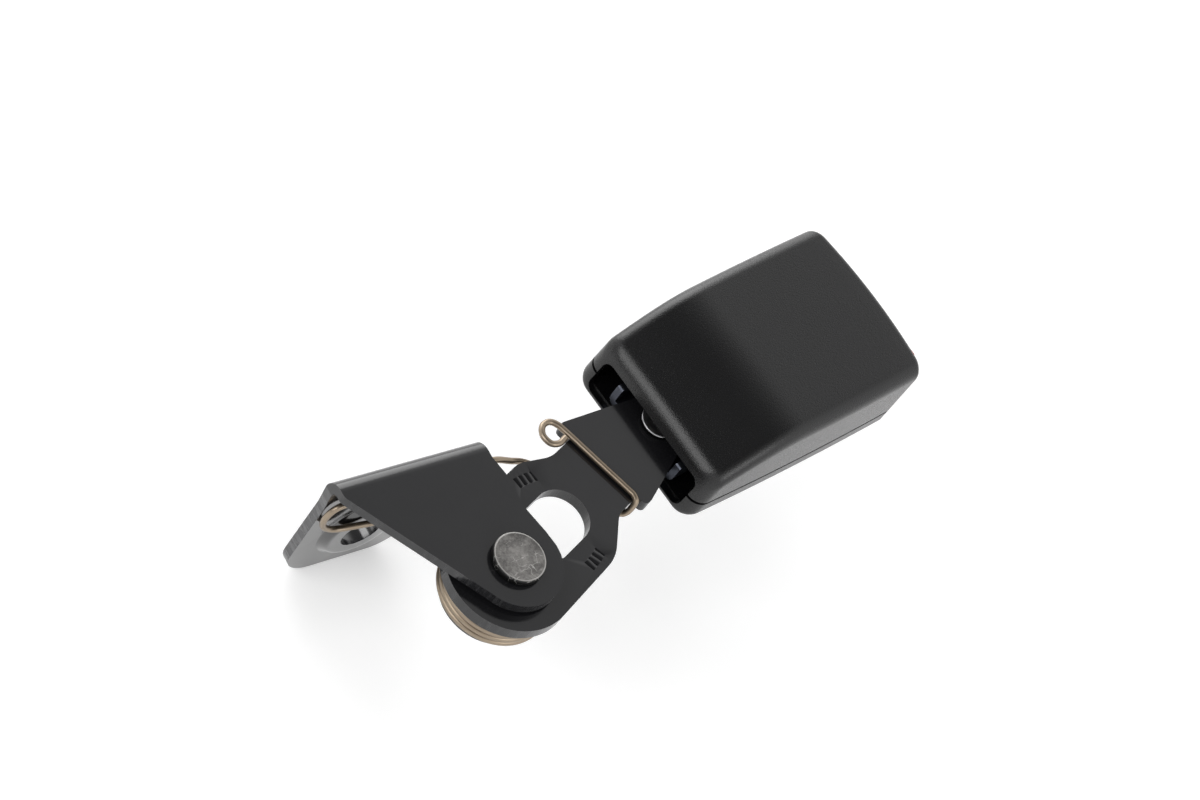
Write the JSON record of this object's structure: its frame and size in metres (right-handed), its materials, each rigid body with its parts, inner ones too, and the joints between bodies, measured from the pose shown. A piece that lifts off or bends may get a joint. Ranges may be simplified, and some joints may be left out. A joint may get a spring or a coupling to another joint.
{
  "type": "seat belt buckle",
  "caption": "Seat belt buckle in a black plastic housing with an end release button, on a steel stem that swivels in a folded anchor bracket with a wire return spring.",
  "frame": {"origin": "centre of the bolt hole on the outer face of the bracket's foot", "axes": "+X along the buckle head from its rivet to the release button, +Z along both rivets away from the wire coil"},
  "size_m": [0.1754, 0.0614, 0.0628],
  "materials": {
    "black_coat": "satin black coat on pressed steel",
    "bare_steel": "bare forged rivet steel",
    "zinc_steel": "zinc plated",
    "spring_wire": "bronze tinted spring wire",
    "nylon": "black nylon",
    "shell_black": "fine grained black ABS",
    "button_red": "red ABS",
    "white_acetal": "natural acetal"
  },
  "bodies": {
    "anchor": {"anchor_bracket": "black_coat", "pivot_rivet": "bare_steel", "pivot_washer": "nylon", "spring_spool": "nylon", "spool_washer": "zinc_steel", "torsion_spring": "spring_wire"},
    "stem_arm": {"stem": "black_coat"},
    "head": {"upper_cover": "shell_black", "lower_cover": "shell_black", "frame": "zinc_steel", "buckle_rivet": "bare_steel", "buckle_washer": "nylon", "latch_pin": "zinc_steel", "latch_spring": "zinc_steel", "button_spring_left": "zinc_steel", "button_spring_right": "zinc_steel", "ejector_spring": "zinc_steel"},
    "button": {"release_button": "button_red"},
    "latch_plate": {"latch": "zinc_steel"},
    "ejector_slider": {"ejector": "white_acetal"}
  },
  "joints": [
    {"name": "stem_swivel", "type": "hinge", "parent": "anchor", "child": "stem_arm", "pos_m": [0.0124, -0.03872, 0.0262], "axis": [0, 0, 1], "range_deg": [-30, 21], "stiffness_Nm_per_rad": 0.25, "deforming": ["torsion_spring"]},
    {"name": "head_swivel", "type": "hinge", "parent": "stem_arm", "child": "head", "pos_m": [0.08048, -0.02161, 0.0262], "axis": [0, 0, 1], "range_deg": [-2.5, 18]},
    {"name": "button_press", "type": "slide", "parent": "head", "child": "button", "axis": [-1, 0, 0], "range_m": [0, 0.0045], "stiffness_N_per_m": 900, "springref_m": -0.004, "deforming": ["button_spring_left", "button_spring_right"]},
    {"name": "latch_lift", "type": "hinge", "parent": "head", "child": "latch_plate", "pos_m": [0.10248, -0.02161, 0.0308], "axis": [0, -1, 0], "range_deg": [0, 9.6], "deforming": ["latch_spring"]},
    {"name": "ejector_slide", "type": "slide", "parent": "head", "child": "ejector_slider", "axis": [-1, 0, 0], "range_m": [0, 0.01], "stiffness_N_per_m": 120, "springref_m": -0.01, "deforming": ["ejector_spring"]}
  ],
  "couplings": [
    {"joint": "latch_lift", "follows": "button_press", "rad_per_m": 37}
  ]
}
